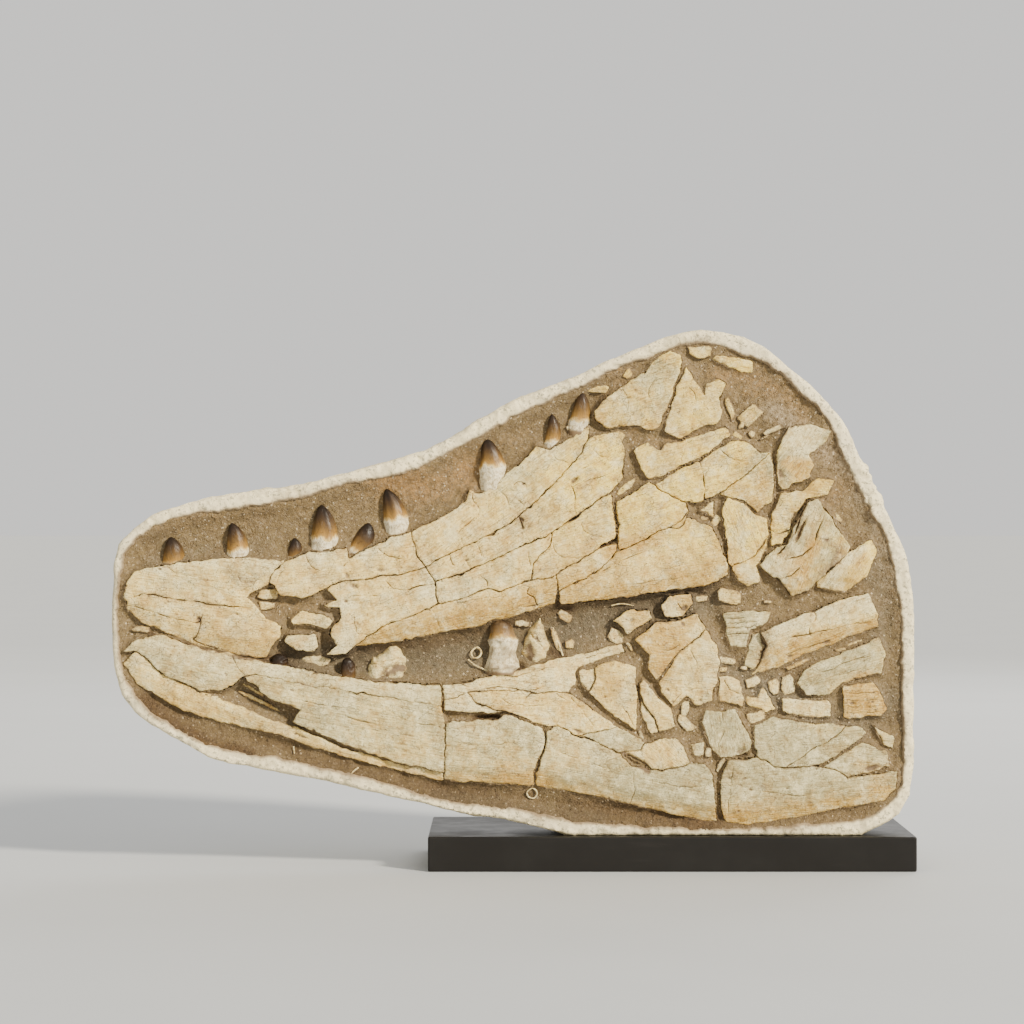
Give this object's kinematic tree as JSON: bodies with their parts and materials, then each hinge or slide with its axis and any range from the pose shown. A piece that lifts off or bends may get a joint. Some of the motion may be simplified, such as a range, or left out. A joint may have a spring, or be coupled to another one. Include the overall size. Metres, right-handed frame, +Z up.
{
  "type": "fossil mosasaur jaw in matrix",
  "caption": "Crushed toothed lower jaws of a large mosasaur in sandy matrix, held in a white plaster field jacket that stands upright on a flat black plinth.",
  "frame": {"origin": "on the floor, under the middle of the whole specimen and its plinth", "axes": "+Z up, +X along the jaws from their front tips to their hinge ends, +Y from the prepared face back into the block; the viewer stands at -Y"},
  "size_m": [0.8042, 0.21, 0.5415],
  "materials": {
    "jacket_plaster": "matt white plaster, weathered",
    "matrix_sandstone": "rough brown sandy rock",
    "bone_cream": "cream fossil bone, finely cracked, satin",
    "bone_grey": "grey ivory fossil bone, finely pitted, satin",
    "bone_ochre": "ochre-stained fossil bone, satin",
    "bone_white": "pale weathered fossil bone, matt",
    "tooth_enamel": "dark brown to amber fossil enamel, glossy",
    "plinth_black": "satin black"
  },
  "bodies": {
    "root": {"jacket": "jacket_plaster", "lower_angular_middle": "bone_grey", "lower_angular_rear": "bone_grey", "lower_comb": "bone_grey", "lower_coronoid_lamina": "bone_white", "lower_dentary_shelf": "bone_ochre", "lower_dentary_upper": "bone_grey", "lower_foramen_plate": "bone_cream", "lower_splenial_front": "bone_grey", "lower_splenial_rear": "bone_grey", "lower_wedge": "bone_cream", "matrix": "matrix_sandstone", "plate_articular_block": "bone_grey", "plate_articular_knob": "bone_cream", "plate_articular_top": "bone_cream", "plate_broad": "bone_cream", "plate_coronoid_left": "bone_cream", "plate_coronoid_right": "bone_cream", "plate_flake": "bone_cream", "plate_heart": "bone_white", "plate_knob": "bone_cream", "plate_lower_bar": "bone_white", "plate_lower_grey": "bone_grey", "plate_lower_square": "bone_ochre", "plate_ochre": "bone_ochre", "plate_olive": "bone_grey", "plate_packed_cream": "bone_cream", "plate_packed_white": "bone_white", "plate_pale_square": "bone_white", "plate_prearticular_knee": "bone_cream", "plate_prearticular_top": "bone_cream", "plate_retroarticular": "bone_white", "plate_rib_front": "bone_grey", "plate_rib_rear": "bone_grey", "plate_rib_shard": "bone_grey", "plate_rim_bar": "bone_cream", "plate_shield": "bone_cream", "plate_slant_front": "bone_white", "plate_slant_rear": "bone_cream", "plate_small_white": "bone_white", "plate_spongy": "bone_grey", "plate_striated": "bone_grey", "plate_surangular_front": "bone_cream", "plate_surangular_middle": "bone_cream", "plate_surangular_rear": "bone_white", "plate_surangular_top": "bone_cream", "stand_plinth": "plinth_black", "upper_angular_front": "bone_cream", "upper_angular_rear": "bone_cream", "upper_chip_long": "bone_cream", "upper_chip_white": "bone_white", "upper_dentary_front": "bone_cream", "upper_dentary_keel": "bone_cream", "upper_dentary_middle": "bone_cream", "upper_dentary_rear": "bone_cream", "upper_dentary_tip": "bone_cream", "upper_dentary_wall": "bone_cream", "upper_splenial_front": "bone_cream", "upper_splenial_keel": "bone_ochre", "upper_splenial_middle": "bone_cream"}
  },
  "joints": []
}
